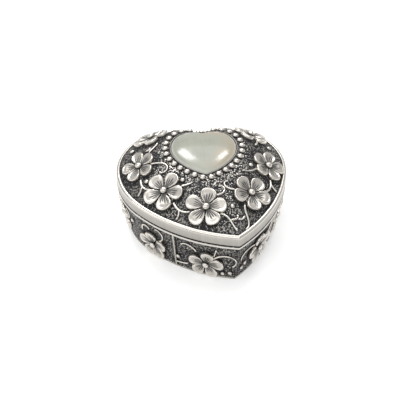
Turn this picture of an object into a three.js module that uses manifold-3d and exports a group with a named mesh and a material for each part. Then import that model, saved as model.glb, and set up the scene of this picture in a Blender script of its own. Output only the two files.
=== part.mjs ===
// Heart-shaped trinket box in cast pewter: a tapered base, a domed lid that lifts off and a stone
// cabochon held in a bezel on the lid. Flowers, tendrils and beads are cast in relief.
// Millimetres, +Z up. The box stands on Z = 0, with the origin under the middle of its outline.
// The point of the heart faces -Y and is swept a little towards +X.

import * as THREE from 'three';
import { mergeVertices } from 'three/addons/utils/BufferGeometryUtils.js';
import Module from 'manifold-3d';

// Overall sizes
const boxWidth = 80;
const baseHeight = 25;
const bandHeight = 5.9;
const domeRise = 10.5;
const domeRoundness = 1.45;

// Outline of the box: radii and places are shares of half its width, angles are in degrees
const boxShape = {
  upperFlank: 0.7625,
  lobe: 0.575,
  lobeAngle: 42,
  notchRound: 0.0625,
  lowerFlank: 0.965,
  flankEndRight: -11.4,
  flankEndLeft: -41.7,
  tipAside: 0.3275,
  tipDrop: 1.23,
  tipRound: 0.03,
};

// Outline of the stone, as shares of half its own width
const stoneShape = {
  upperFlank: 0.85,
  lobe: 0.5,
  lobeAngle: 34.4,
  notchRound: 0.22,
  lowerFlank: 1.05,
  flankEndRight: -25.8,
  flankEndLeft: -25.8,
  tipAside: 0,
  tipDrop: 1.33,
  tipRound: 0.04,
};

// Segments of each stretch of the outline, from the notch to the tip
const boxSteps = { notch: 2, lobe: 6, upperFlank: 3, lowerFlank: 2, side: 6, tip: 3 };
const stoneSteps = { notch: 1, lobe: 5, upperFlank: 2, lowerFlank: 2, side: 4, tip: 2 };

// Stone and its bezel
const stoneWidth = 30;
const stoneAside = 1.1;
const stoneAboveWidest = 1.3;
const stoneGirdle = 0.7;
const stoneDome = 2.8;
const stoneClearance = 0.2;
const bezelWall = 0.55;
const bezelHeight = 0.7;
const seatLedge = 0.8;

// Walls and fits
const baseWall = 1.8;
const baseFloor = 1.8;
const floorFillet = 0.8;
const lidWall = 2;
const crownWall = 2.1;
const lipWall = 1;
const lipHeight = 1.5;
const lipClearance = 0.35;

// Rims, foot and edges
const rimHeight = 1.6;
const rimOverhang = 1;
const footInset = 4.8;
const footLip = 0.5;
const footLipHeight = 1;
const edgeBevel = 0.3;
const bandEdge = 0.9;
const bandEdgeDrop = 0.5;

// Relief
const flowerRadius = 9;
const wallFlowerRadius = 8.8;
const petalCount = 5;
const petalRim = 0.9;
const petalCrown = 1.5;
const flowerHeart = 0.6;
const flowerBead = 1.25;
const ringBead = 1.2;
const ringPitch = 4;
const ringGap = 2.7;
const dotBead = 1.05;
const beadSides = 5;
const beadShoulder = 0.45;
const tendrilWidth = 1.3;
const tendrilHeight = 0.8;
const rootDepth = 0.5;
const ribWidth = 1.1;
const ribHeight = 0.7;

// Flowers of the lid: bearing from the stone, share of the way from the rim to the stone, turn
const lidFlowers = [
  [-169.5, 0.38, 24],
  [-129.5, 0.41, 50],
  [-92.4, 0.395, 6],
  [-54.9, 0.38, 57],
  [-16.9, 0.34, 8],
  [31.6, 0.4, 30],
  [146.8, 0.4, 52],
];

// Single dots of the lid: bearing and share
const lidDots = [
  [-149.1, 0.36],
  [-117.6, 0.75],
  [-74.1, 0.37],
  [-29.9, 0.68],
  [110, 0.3],
  [70, 0.3],
];

// Tendrils of the lid: bearing and share of the start, heading, length, bend at the start and the end
const lidTendrils = [
  [-164.7, 0.6, -28, 15.4, 8, -40],
  [-155.3, 0.31, -98, 8.9, 8, 11],
  [-116.9, 0.62, -2, 5.7, 1, 12],
  [-117.4, 0.3, -73, 9.6, 6, 10],
  [-83.8, 0.6, 15, 8.7, 0, 53],
  [-83.6, 0.29, 0, 11, -17, 9],
  [-64.9, 0.31, -102, 12.1, 11, -19],
  [-65.8, 0.58, 179, 8.9, 1, -52],
  [-44.6, 0.23, 25, 9.4, 9, 7],
  [-26.4, 0.53, -130, 8.9, -3, -11],
  [177.5, 0.61, 45, 7.1, 0, 6],
  [8, 0.6, 63, 6.6, 0, 20],
  [128, 0.5, 30, 12, -4, -26],
  [50, 0.5, 150, 12, 4, 26],
];

// Flowers of the wall: share of the way round from the tip, share of the wall's height, turn
const wallFlowers = [
  [-0.063, 0.37, 18],
  [-0.178, 0.36, 20],
  [-0.282, 0.45, 40],
  [-0.386, 0.42, 10],
  [0.07, 0.47, 30],
  [0.178, 0.4, 5],
  [0.282, 0.45, 50],
  [0.386, 0.42, 20],
];

const wallDots = [
  [-0.116, 0.38],
  [-0.029, 0.17],
  [-0.016, 0.18],
  [0.018, 0.29],
  [0.23, 0.7],
  [-0.23, 0.65],
];

// Tendrils of the wall, written as those of the lid, with the place as shares of length and height
const wallTendrils = [
  [-0.077, 0.68, 115, 10, 6, 20],
  [-0.05, 0.57, 58, 18.9, -5, -16],
  [-0.047, 0.65, 78, 5.3, 0, 0],
  [-0.099, 0.22, -153, 5.6, 2, 2],
  [-0.166, 0.5, 25, 13.8, 4, 22],
  [-0.198, 0.63, 95, 9.2, -6, -34],
  [0.053, 0.68, 145, 13.2, 6, 15],
  [0.098, 0.62, 40, 12, 4, 20],
  [0.15, 0.45, 150, 12, -4, -22],
  [0.205, 0.6, 60, 11, -6, -24],
  [0.31, 0.6, 50, 12, -5, -24],
  [0.412, 0.5, 35, 14, 4, 18],
  [-0.255, 0.5, 40, 9, 4, 26],
  [-0.31, 0.6, 130, 12, 5, 24],
  [-0.412, 0.5, 145, 14, -4, -18],
];

// Upright ribs of the wall: share of the way round from the tip
const wallRibs = [-0.123, 0.123, -0.45, 0.45];

const pewter = { color: 0xb9b3aa, roughness: 0.38, metalness: 0.9 };
const stonePolish = { color: 0xb4bcae, roughness: 0.15, metalness: 0 };

const wasm = await Module();
wasm.setup();

const radians = THREE.MathUtils.degToRad;
const mirrored = (point) => new THREE.Vector2(-point.x, point.y);
const polar = (radius, angle) => new THREE.Vector2(Math.cos(angle), Math.sin(angle)).multiplyScalar(radius);

function arc(centre, radius, from, to, steps) {
  const points = [];
  for (let i = 1; i <= steps; i += 1) {
    points.push(polar(radius, from + ((to - from) * i) / steps).add(centre));
  }
  return points;
}

// The lower side is an arc that leaves the lower flank smoothly and runs through the tip
function lowerSide(shape, half, flankEnd, tip) {
  const flankRadius = shape.lowerFlank * half;
  const flank = new THREE.Vector2(half - flankRadius, 0);
  const outward = polar(1, radians(flankEnd));
  const start = flank.clone().addScaledVector(outward, flankRadius);
  const chord = tip.clone().sub(start);
  const radius = chord.lengthSq() / (-2 * chord.dot(outward));
  const centre = start.clone().addScaledVector(outward, -radius);
  return { flank, flankRadius, flankEnd: radians(flankEnd), centre, radius };
}

function lowerCrossing(centreA, radiusA, centreB, radiusB) {
  const line = centreB.clone().sub(centreA);
  const span = line.length();
  const along = (radiusA ** 2 - radiusB ** 2 + span ** 2) / (2 * span);
  const across = Math.sqrt(Math.max(radiusA ** 2 - along ** 2, 0));
  const foot = centreA.clone().addScaledVector(line, along / span);
  const side = new THREE.Vector2(-line.y, line.x).multiplyScalar(across / span);
  const crossings = [foot.clone().add(side), foot.clone().sub(side)];
  return crossings[0].y < crossings[1].y ? crossings[0] : crossings[1];
}

// A heart of tangent arcs, moved inwards by inset. Y = 0 is its widest line. The points run from the
// notch over the right lobe to the tip and back over the left one, and each inset has as many.
function heart(shape, width, inset, steps) {
  const half = width / 2;
  const upperRadius = shape.upperFlank * half;
  const lobeRadius = shape.lobe * half;
  const notchRadius = shape.notchRound * half;
  const lobeAngle = radians(shape.lobeAngle);
  const upper = new THREE.Vector2(half - upperRadius, 0);
  const lobe = polar(upperRadius - lobeRadius, lobeAngle).add(upper);
  const notchRise = Math.sqrt(Math.max((lobeRadius + notchRadius) ** 2 - lobe.x ** 2, 0));
  const notch = new THREE.Vector2(0, lobe.y + notchRise);
  const notchAngle = Math.atan2(notchRise, -lobe.x);
  const tip = new THREE.Vector2(shape.tipAside * half, -shape.tipDrop * half);
  const right = lowerSide(shape, half, shape.flankEndRight, tip);
  const left = lowerSide(shape, half, shape.flankEndLeft, mirrored(tip));
  const round = Math.max(shape.tipRound * half - inset, edgeBevel);
  const shrink = inset + round;
  const tipCentre = lowerCrossing(right.centre, right.radius - shrink, mirrored(left.centre), left.radius - shrink);

  const lobeSide = (side, centreOfTip) => {
    const end = centreOfTip.clone().sub(side.centre).angle() - 2 * Math.PI;
    return [
      ...arc(notch, notchRadius + inset, -Math.PI / 2, notchAngle - Math.PI, steps.notch),
      ...arc(lobe, lobeRadius - inset, notchAngle, lobeAngle, steps.lobe),
      ...arc(upper, upperRadius - inset, lobeAngle, 0, steps.upperFlank),
      ...arc(side.flank, side.flankRadius - inset, 0, side.flankEnd, steps.lowerFlank),
      ...arc(side.centre, side.radius - inset, side.flankEnd, end, steps.side),
    ];
  };
  const rightHalf = lobeSide(right, tipCentre);
  const leftHalf = lobeSide(left, mirrored(tipCentre)).map(mirrored);
  const tipFrom = tipCentre.clone().sub(right.centre).angle();
  const tipTo = tipCentre.clone().sub(mirrored(left.centre)).angle();
  const bottom = new THREE.Vector2(0, notch.y - notchRadius - inset);
  const tipArc = arc(tipCentre, round, tipFrom, tipTo, steps.tip).slice(0, -1);
  return [bottom, ...rightHalf, ...tipArc, ...leftHalf.reverse()];
}

// The outline's bounding box is centred on the origin
const plainOutline = heart(boxShape, boxWidth, 0, boxSteps);
const outlineBox = new THREE.Box2().setFromPoints(plainOutline);
const widestLine = -(outlineBox.min.y + outlineBox.max.y) / 2;
const stoneCentre = new THREE.Vector2(stoneAside, widestLine + stoneAboveWidest);
const boxMiddle = new THREE.Vector2(0, widestLine);

const boxOutline = (inset) => heart(boxShape, boxWidth, inset, boxSteps).map((point) => point.add(boxMiddle));
const stoneOutline = (inset) => heart(stoneShape, stoneWidth, inset, stoneSteps)
  .map((point) => point.add(stoneCentre));
const atHeight = (outline, z) => outline.map((point) => new THREE.Vector3(point.x, point.y, z));

// Levels and places that follow from the sizes; those of the lid are above its lower face
const domeFoot = bandHeight - bandEdgeDrop;
const seatLevel = domeFoot + domeRise;
const domeInset = edgeBevel + bandEdge;
const bezelInner = stoneClearance;
const bezelOuter = bezelInner + bezelWall;
const seatOutline = stoneOutline(-(bezelOuter + seatLedge));
const domeOutline = boxOutline(domeInset);
const lipOuter = lidWall + lipClearance;
const lipInner = lipOuter + lipWall;
const wallTop = baseHeight - rimHeight;

// Solids from points and triangles, turned so that the faces point out
function toManifold(points, triangles) {
  let volume = 0;
  triangles.forEach(([a, b, c]) => {
    volume += points[a].dot(points[b].clone().cross(points[c]));
  });
  const facing = volume > 0 ? triangles : triangles.map(([a, b, c]) => [a, c, b]);
  const geometry = new THREE.BufferGeometry().setFromPoints(points);
  geometry.setIndex(facing.flat());
  const merged = mergeVertices(geometry, 1e-5);
  return new wasm.Manifold(new wasm.Mesh({
    numProp: 3,
    vertProperties: Float32Array.from(merged.attributes.position.array),
    triVerts: Uint32Array.from(merged.index.array),
  }));
}

function flatCap(ring, offset) {
  const { area, triangulateShape } = THREE.ShapeUtils;
  const contour = ring.map((point) => new THREE.Vector2(point.x, point.y));
  const faces = triangulateShape(contour, []);
  const covered = faces.reduce((sum, face) => sum + area(face.map((i) => contour[i])), 0);
  const sameTurn = covered > 0 === area(contour) > 0;
  return faces.map((face) => (sameTurn ? face : face.reverse()).map((i) => i + offset));
}

const fanCap = (ring, offset) => ring.slice(2).map((point, i) => [offset, offset + i + 1, offset + i + 2]);

// Skin through rings of equally many points, closed by a cap at both ends, or into a ring without caps
function loft(rings, cap = flatCap) {
  const count = rings[0].length;
  const last = rings.length - 1;
  const triangles = [];
  for (let k = 0; k < (cap ? last : rings.length); k += 1) {
    const low = k * count;
    const high = ((k + 1) % rings.length) * count;
    for (let i = 0; i < count; i += 1) {
      const j = (i + 1) % count;
      triangles.push([low + i, low + j, high + j], [low + i, high + j, high + i]);
    }
  }
  if (cap) {
    triangles.push(...cap(rings[0], 0).map(([a, b, c]) => [a, c, b]), ...cap(rings[last], last * count));
  }
  return toManifold(rings.flat(), triangles);
}

const joined = (pieces) => pieces.reduce((whole, piece) => whole.add(piece));

// Distance from the stone's centre to an outline, along a bearing
function reach(outline, bearing) {
  const ray = polar(1, bearing);
  let furthest = 0;
  outline.forEach((from, i) => {
    const start = from.clone().sub(stoneCentre);
    const edge = outline[(i + 1) % outline.length].clone().sub(from);
    const turn = ray.cross(edge);
    const share = start.cross(ray) / turn;
    const distance = start.cross(edge) / turn;
    if (share > -1e-6 && share < 1 + 1e-6 && distance > furthest) furthest = distance;
  });
  return furthest;
}

// Dome of the lid: it rises from the rim (share 0) to the seat of the stone (share 1)
const domeLevel = (share) => domeFoot + domeRise * (1 - (1 - THREE.MathUtils.clamp(share, 0, 1)) ** domeRoundness);

function domePlace(bearing, share) {
  const angle = radians(bearing);
  const outer = reach(domeOutline, angle);
  return polar(THREE.MathUtils.lerp(outer, reach(seatOutline, angle), share), angle).add(stoneCentre);
}

function domeHeight(x, y) {
  const offset = new THREE.Vector2(x, y).sub(stoneCentre);
  const angle = offset.angle();
  const outer = reach(domeOutline, angle);
  return domeLevel((outer - offset.length()) / (outer - reach(seatOutline, angle)));
}

function onDome(x, y, height) {
  const step = 0.5;
  const slopeX = (domeHeight(x + step, y) - domeHeight(x - step, y)) / (2 * step);
  const slopeY = (domeHeight(x, y + step) - domeHeight(x, y - step)) / (2 * step);
  const normal = new THREE.Vector3(-slopeX, -slopeY, 1).normalize();
  return new THREE.Vector3(x, y, domeHeight(x, y)).addScaledVector(normal, height);
}

// A flat patch laid on the dome keeps its true size along the slope
function domePatch(place) {
  const base = onDome(place.x, place.y, 0);
  const normal = onDome(place.x, place.y, 1).sub(base);
  const along = new THREE.Vector3(1, 0, 0).projectOnPlane(normal).normalize();
  const across = normal.clone().cross(along);
  return (a, b, height) => {
    const point = base.clone().addScaledVector(along, a).addScaledVector(across, b);
    return onDome(point.x, point.y, height);
  };
}

// Distances along an outline
const sum = (numbers) => numbers.reduce((total, number) => total + number, 0);
const stretches = (line) => line.map((point, i) => point.distanceTo(line[(i + 1) % line.length]));
const lowestPoint = (line) => line.reduce((lowest, point, i) => (point.y < line[lowest].y ? i : lowest), 0);
const between = (line, i, share) => line[i].clone().lerp(line[(i + 1) % line.length], share);

function locate(lengths, distance) {
  let left = THREE.MathUtils.euclideanModulo(distance, sum(lengths));
  let i = 0;
  while (left > lengths[i] && i < lengths.length - 1) {
    left -= lengths[i];
    i += 1;
  }
  return [i, left / lengths[i]];
}

// Wall of the base: places are distances round the rim from the tip, positive towards +X
const rimLine = boxOutline(0);
const rimLengths = stretches(rimLine);
const rimLength = sum(rimLengths);
const tipDistance = sum(rimLengths.slice(0, lowestPoint(rimLine)));

function wallInset(z) {
  return THREE.MathUtils.lerp(footInset, rimOverhang, THREE.MathUtils.clamp(z / wallTop, 0, 1));
}

function onWall(distance, z, height) {
  const point = between(boxOutline(wallInset(z) - height), ...locate(rimLengths, tipDistance - distance));
  return new THREE.Vector3(point.x, point.y, z);
}

const wallPatch = (distance, z) => (a, b, height) => onWall(distance + a, z + b, height);

// A bead is a low faceted dome rooted in the surface
function bead(patch, radius) {
  const ring = (height) => Array.from({ length: beadSides }, (unused, i) => {
    const spoke = polar(radius, (i * 2 * Math.PI) / beadSides);
    return patch(spoke.x, spoke.y, height);
  });
  const points = [...ring(-rootDepth), ...ring(radius * beadShoulder), patch(0, 0, radius)];
  const apex = points.length - 1;
  const triangles = [...fanCap(points.slice(0, beadSides), 0)];
  for (let i = 0; i < beadSides; i += 1) {
    const j = (i + 1) % beadSides;
    const upper = i + beadSides;
    const nextUpper = j + beadSides;
    triangles.push([j, i, upper], [j, upper, nextUpper], [nextUpper, upper, apex]);
  }
  return toManifold(points, triangles);
}

// A flower is one star of rounded petals, each with its own crown, round a bead. The outline of a
// petal is given by swing, as a share of its sector, and reach, as a share of the flower's radius.
const petalOutline = [
  [-0.5, 0.26],
  [-0.39, 0.62],
  [-0.2, 0.95],
  [0.2, 0.95],
  [0.39, 0.62],
];

function flower(patch, radius, turn) {
  const each = petalOutline.length;
  const count = petalCount * each;
  const spoke = (petal, distance) => polar(distance, radians(turn) + (petal * 2 * Math.PI) / petalCount);
  const at = (spot, height) => patch(spot.x, spot.y, height);
  const petals = Array.from({ length: petalCount }, (unused, petal) => petal);
  const spots = petals.flatMap((petal) => petalOutline.map(([swing, share]) => spoke(petal + swing, radius * share)));
  const collar = petals.map((petal) => spoke(petal - 0.5, flowerBead));
  const points = [
    ...spots.map((spot) => at(spot, -rootDepth)),
    ...spots.map((spot) => at(spot, petalRim)),
    ...petals.map((petal) => at(spoke(petal, radius * 0.66), petalCrown)),
    ...collar.map((spot) => at(spot, flowerHeart)),
    ...collar.map((spot) => at(spot.clone().multiplyScalar(0.8), flowerHeart + flowerBead * 0.7)),
    patch(0, 0, flowerHeart + flowerBead),
    patch(0, 0, -rootDepth),
  ];
  const crown = 2 * count;
  const foot = crown + petalCount;
  const shoulder = foot + petalCount;
  const top = shoulder + petalCount;
  const under = top + 1;
  const triangles = [];
  for (let i = 0; i < count; i += 1) {
    const j = (i + 1) % count;
    const petal = crown + Math.floor(i / each);
    triangles.push([under, j, i], [i, j, count + j], [i, count + j, count + i], [petal, count + i, count + j]);
  }
  petals.forEach((petal) => {
    const next = (petal + 1) % petalCount;
    const cleft = count + petal * each;
    const nextCleft = count + next * each;
    triangles.push(
      [crown + petal, nextCleft, foot + next],
      [crown + petal, foot + next, foot + petal],
      [crown + petal, foot + petal, cleft],
      [foot + petal, foot + next, shoulder + next],
      [foot + petal, shoulder + next, shoulder + petal],
      [shoulder + petal, shoulder + next, top],
    );
  });
  return toManifold(points, triangles);
}

// A tendril is a ridge along a curve whose bend runs evenly from its start to its end
function tendril(place, start, heading, length, bendStart, bendEnd) {
  const steps = Math.round(THREE.MathUtils.clamp(1.5 + (Math.abs(bendStart + bendEnd) * length) / 80, 2, 7));
  const fine = 8;
  const rings = [];
  const spot = start.clone();
  let angle = radians(heading);
  for (let k = 0; k <= steps * fine; k += 1) {
    const share = k / (steps * fine);
    if (k % fine === 0) {
      const taper = 1 - 0.4 * share;
      const side = polar((tendrilWidth / 2) * taper, angle + Math.PI / 2);
      rings.push([
        place(spot.x + side.x, spot.y + side.y, -rootDepth),
        place(spot.x - side.x, spot.y - side.y, -rootDepth),
        place(spot.x, spot.y, tendrilHeight * taper),
      ]);
    }
    const stride = length / (steps * fine);
    spot.add(polar(stride, angle));
    angle += radians(THREE.MathUtils.lerp(bendStart, bendEnd, share)) * stride;
  }
  return loft(rings, fanCap);
}

// Lid, from its lower face: band, dome up to the seat, and the hollow under it
function lidShell() {
  const bearings = domeOutline.map((point) => point.clone().sub(stoneCentre).angle());
  const domeRing = (outer, inner, share, drop) => bearings.map((bearing) => {
    const radius = THREE.MathUtils.lerp(reach(outer, bearing), reach(inner, bearing), share);
    const point = polar(radius, bearing).add(stoneCentre);
    return new THREE.Vector3(point.x, point.y, domeLevel(share) - drop);
  });
  const innerRim = boxOutline(lidWall);
  const innerSeat = stoneOutline(0);
  return loft([
    ...[1, 0.75, 0.48, 0.23, 0].map((share) => domeRing(domeOutline, seatOutline, share, 0)),
    atHeight(boxOutline(bandEdge), bandHeight),
    atHeight(boxOutline(edgeBevel), bandHeight),
    atHeight(boxOutline(0), bandHeight - edgeBevel),
    atHeight(boxOutline(0), edgeBevel),
    atHeight(boxOutline(edgeBevel), 0),
    atHeight(innerRim, 0),
    atHeight(innerRim, lipHeight + lipClearance),
    ...[0, 0.3, 0.65, 1].map((share) => domeRing(innerRim, innerSeat, share, crownWall)),
  ]);
}

// Thin wall round the stone
function bezel() {
  return loft([
    atHeight(stoneOutline(-bezelOuter), seatLevel - rootDepth),
    atHeight(stoneOutline(-bezelOuter), seatLevel + bezelHeight),
    atHeight(stoneOutline(-bezelInner), seatLevel + bezelHeight),
    atHeight(stoneOutline(-bezelInner), seatLevel - rootDepth),
  ], null);
}

// Row of beads round the bezel, with two of them either side of the tip
function beadRow() {
  const line = stoneOutline(-ringGap);
  const lengths = stretches(line);
  const total = sum(lengths);
  const count = 2 * Math.round(total / ringPitch / 2);
  const start = sum(lengths.slice(0, lowestPoint(line)));
  return Array.from({ length: count }, (unused, i) => {
    const [index, share] = locate(lengths, start + ((i + 0.5) * total) / count);
    return bead(domePatch(between(line, index, share)), ringBead);
  });
}

function lidSolid() {
  const pieces = [lidShell(), bezel(), ...beadRow()];
  lidFlowers.forEach(([bearing, share, turn]) => {
    pieces.push(flower(domePatch(domePlace(bearing, share)), flowerRadius, turn));
  });
  lidDots.forEach(([bearing, share]) => pieces.push(bead(domePatch(domePlace(bearing, share)), dotBead)));
  lidTendrils.forEach(([bearing, share, ...course]) => {
    pieces.push(tendril(onDome, domePlace(bearing, share), ...course));
  });
  return joined(pieces);
}

// Base, from the foot up over the rim and the lip and down inside to the floor
function baseShell() {
  const innerTop = Math.max(lipInner, rimOverhang + baseWall);
  const innerFoot = wallInset(baseFloor) + baseWall;
  const lipTop = baseHeight + lipHeight;
  return loft([
    atHeight(boxOutline(footInset - footLip), 0),
    atHeight(boxOutline(footInset - footLip), footLipHeight - edgeBevel),
    atHeight(boxOutline(wallInset(footLipHeight)), footLipHeight),
    atHeight(boxOutline(rimOverhang), wallTop - edgeBevel),
    atHeight(boxOutline(edgeBevel), wallTop),
    atHeight(boxOutline(0), wallTop + edgeBevel),
    atHeight(boxOutline(0), baseHeight - edgeBevel),
    atHeight(boxOutline(edgeBevel), baseHeight),
    atHeight(boxOutline(lipOuter), baseHeight),
    atHeight(boxOutline(lipOuter), lipTop - edgeBevel),
    atHeight(boxOutline(lipOuter + edgeBevel), lipTop),
    atHeight(boxOutline(lipInner), lipTop),
    atHeight(boxOutline(innerTop), wallTop),
    atHeight(boxOutline(innerFoot), baseFloor + floorFillet),
    atHeight(boxOutline(innerFoot + floorFillet), baseFloor),
  ]);
}

function rib(share) {
  const distance = share * rimLength;
  const low = footLipHeight;
  const high = wallTop;
  return loft([low, high].map((z) => [
    onWall(distance - ribWidth / 2, z, -rootDepth),
    onWall(distance + ribWidth / 2, z, -rootDepth),
    onWall(distance + ribWidth / 3, z, ribHeight),
    onWall(distance - ribWidth / 3, z, ribHeight),
  ]), fanCap);
}

function baseSolid() {
  const pieces = [baseShell(), ...wallRibs.map(rib)];
  const place = (share, rise) => [share * rimLength, rise * wallTop];
  wallFlowers.forEach(([share, rise, turn]) => {
    pieces.push(flower(wallPatch(...place(share, rise)), wallFlowerRadius, turn));
  });
  wallDots.forEach(([share, rise]) => pieces.push(bead(wallPatch(...place(share, rise)), dotBead)));
  wallTendrils.forEach(([share, rise, ...course]) => {
    pieces.push(tendril(onWall, new THREE.Vector2(...place(share, rise)), ...course));
  });
  return joined(pieces);
}

// Stone, from its flat back: a straight girdle and a dome
function stoneSolid() {
  const outline = heart(stoneShape, stoneWidth, 0, stoneSteps);
  const shrunk = (scale, z) => atHeight(outline.map((point) => point.clone().multiplyScalar(scale)), z);
  const rise = [0, 25, 48, 68, 82].map(radians);
  return loft([
    shrunk(1, 0),
    ...rise.map((angle) => shrunk(Math.cos(angle), stoneGirdle + stoneDome * Math.sin(angle))),
  ]);
}

function toMesh(name, solid, look) {
  const { vertProperties, triVerts } = solid.getMesh();
  const geometry = new THREE.BufferGeometry();
  geometry.setAttribute('position', new THREE.BufferAttribute(vertProperties, 3));
  geometry.setIndex(new THREE.BufferAttribute(triVerts, 1));
  geometry.computeVertexNormals();
  const mesh = new THREE.Mesh(geometry, new THREE.MeshStandardMaterial(look));
  mesh.name = name;
  return mesh;
}

const base = toMesh('box_base', baseSolid(), pewter);
const lid = toMesh('box_lid', lidSolid(), pewter);
const stone = toMesh('heart_stone', stoneSolid(), stonePolish);
stone.position.set(stoneCentre.x, stoneCentre.y, seatLevel);

const closedLid = new THREE.Group().add(lid, stone);
closedLid.position.z = baseHeight;

export default new THREE.Group().add(base, closedLid);
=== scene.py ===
"""Heart-shaped pewter trinket box with flowers in relief and a polished heart stone in its lid.

Lengths are worked out in millimetres and written to the meshes in metres.
"""
import math

import bpy
import numpy as np
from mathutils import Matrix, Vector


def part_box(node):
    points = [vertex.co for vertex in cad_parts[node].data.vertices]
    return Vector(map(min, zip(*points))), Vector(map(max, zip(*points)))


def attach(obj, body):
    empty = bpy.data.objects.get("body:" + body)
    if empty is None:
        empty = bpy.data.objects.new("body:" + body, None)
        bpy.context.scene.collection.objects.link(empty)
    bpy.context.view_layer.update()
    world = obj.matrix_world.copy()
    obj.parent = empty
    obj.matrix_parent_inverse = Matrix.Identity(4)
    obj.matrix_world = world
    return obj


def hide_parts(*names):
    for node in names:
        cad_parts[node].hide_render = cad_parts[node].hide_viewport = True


bl_info = {
    "name": "Heart box",
    "version": (1, 0, 0),
    "blender": (4, 5, 0),
    "location": "View3D > Sidebar > Heart box",
    "description": "Builds a cast heart-shaped trinket box with flowers in relief and a stone in its lid",
    "category": "Add Mesh",
}

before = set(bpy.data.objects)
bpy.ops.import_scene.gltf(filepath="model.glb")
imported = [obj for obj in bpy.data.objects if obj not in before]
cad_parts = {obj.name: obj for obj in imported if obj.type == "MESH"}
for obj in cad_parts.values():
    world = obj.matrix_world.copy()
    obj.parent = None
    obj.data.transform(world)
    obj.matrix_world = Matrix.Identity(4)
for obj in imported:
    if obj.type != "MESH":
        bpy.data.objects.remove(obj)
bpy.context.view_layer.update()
METRE = 1000.0


def node_box(name):
    low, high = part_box(name)
    return np.array(low) * METRE, np.array(high) * METRE


BASE_LOW, BASE_HIGH = node_box("box_base")
LID_LOW, _ = node_box("box_lid")
STONE_LOW, STONE_HIGH = node_box("heart_stone")

# Outlines: radii and places are shares of half the width, angles are in degrees
BOX_SHAPE = dict(
    upper_flank=0.7625, lobe=0.575, lobe_angle=42, notch_round=0.0625, lower_flank=0.965,
    flank_end_right=-11.4, flank_end_left=-41.7, tip_aside=0.3275, tip_drop=1.23, tip_round=0.03,
)
STONE_SHAPE = dict(
    upper_flank=0.85, lobe=0.5, lobe_angle=34.4, notch_round=0.22, lower_flank=1.05,
    flank_end_right=-34, flank_end_left=-34, tip_aside=0, tip_drop=1.27, tip_round=0.04,
)
BOX_STEPS = dict(notch=8, lobe=96, upper_flank=48, lower_flank=40, side=150, tip=16)
STONE_STEPS = dict(notch=4, lobe=36, upper_flank=14, lower_flank=14, side=40, tip=8)

# Sizes of the cast body, in millimetres
HALF_WIDTH = (BASE_HIGH[0] - BASE_LOW[0]) / 2
SEAM = LID_LOW[2]
EDGE_BEVEL = 0.3
ROOT_DEPTH = 0.5
INSIDE_WEAR = 0.45
# Lid
BAND_HEIGHT = 5.9
LID_WALL = 2.0
CROWN_WALL = 2.1
DOME_INSET = 1.75
DOME_RISE = 10.5
DOME_ROUNDNESS = 1.45
DOME_FOOT_DROP = 0.5
DOME_FOOT = SEAM + BAND_HEIGHT - DOME_FOOT_DROP
SEAT_LEVEL = DOME_FOOT + DOME_RISE
SEAT_MARGIN = 1.55
# Stone and the bezel that holds it
STONE_HALF = (STONE_HIGH[0] - STONE_LOW[0]) / 2
STONE_TIP_BACK = 0.45
STONE_GIRDLE = 0.4
STONE_GIRDLE_BAND = 0.1
STONE_HEIGHT = 3.45
BEZEL_INNER = 0.2
BEZEL_OUTER = 0.75
BEZEL_HEIGHT = 0.7
BEZEL_BEVEL = 0.12
# Base
RIM_HEIGHT = 1.6
RIM_OVERHANG = 1.0
WALL_TOP = SEAM - RIM_HEIGHT
FOOT_INSET = 4.8
FOOT_LIP = 0.5
FOOT_LIP_HEIGHT = 1.0
LIP_OUTER = 2.35
LIP_INNER = 3.35
LIP_HEIGHT = BASE_HIGH[2] - SEAM
BASE_WALL = 1.8
BASE_FLOOR = 1.8
INNER_BEVEL = 0.8

# Relief of the lid: bearing from the stone and share of the way from the rim to the stone.
# A flower also has its turn, and its size as a share of the full one
LID_FLOWERS = [
    (-169.5, 0.39, 24, 0.91), (-129.5, 0.41, 50, 1), (-92.4, 0.395, 6, 1), (-54.9, 0.38, 57, 0.97),
    (-16.9, 0.35, 8, 0.92), (31.6, 0.39, 30, 0.95), (146.8, 0.38, 52, 0.95),
]
LID_DOTS = [
    (-149.1, 0.36), (-117.6, 0.75), (-74.1, 0.37), (-29.9, 0.68), (110, 0.30), (70, 0.30), (90, 0.55),
    (10, 0.25), (166, 0.20),
]
# A tendril also has its heading, its length, and how it bends at its start and end, in degrees a millimetre
LID_TENDRILS = [
    (-164.7, 0.60, -28, 15.4, 8, -40), (-155.3, 0.31, -98, 8.9, 8, 11), (-148.6, 0.24, -111, 4.3, 0, -14),
    (-116.9, 0.62, -2, 5.7, 1, 12), (-117.4, 0.30, -73, 9.6, 6, 10), (-111.6, 0.22, -90, 4.2, -3, -37),
    (-83.8, 0.60, 15, 8.7, 0, 53), (-83.6, 0.29, 0, 11, -17, 9), (-78, 0.19, 15, 4.8, -11, 72),
    (-64.9, 0.31, -102, 12.1, 11, -19), (-68.4, 0.17, -122, 4.1, -2, -48), (-65.8, 0.58, 179, 8.9, 1, -52),
    (-44.6, 0.23, 25, 9.4, 9, 7), (-33.6, 0.19, -50, 3.9, 0, 4), (-26.4, 0.53, -130, 8.9, -3, -11),
    (177.5, 0.61, 45, 7.1, 0, 6), (169.1, 0.63, -112, 3.5, -7, -75), (8, 0.60, 63, 6.6, 0, 20),
    (128, 0.50, 30, 12, -4, -26), (50, 0.50, 150, 12, 4, 26), (20, 0.18, 110, 7, 4, 18),
    (160, 0.30, 80, 6, -4, -20),
]
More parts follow.
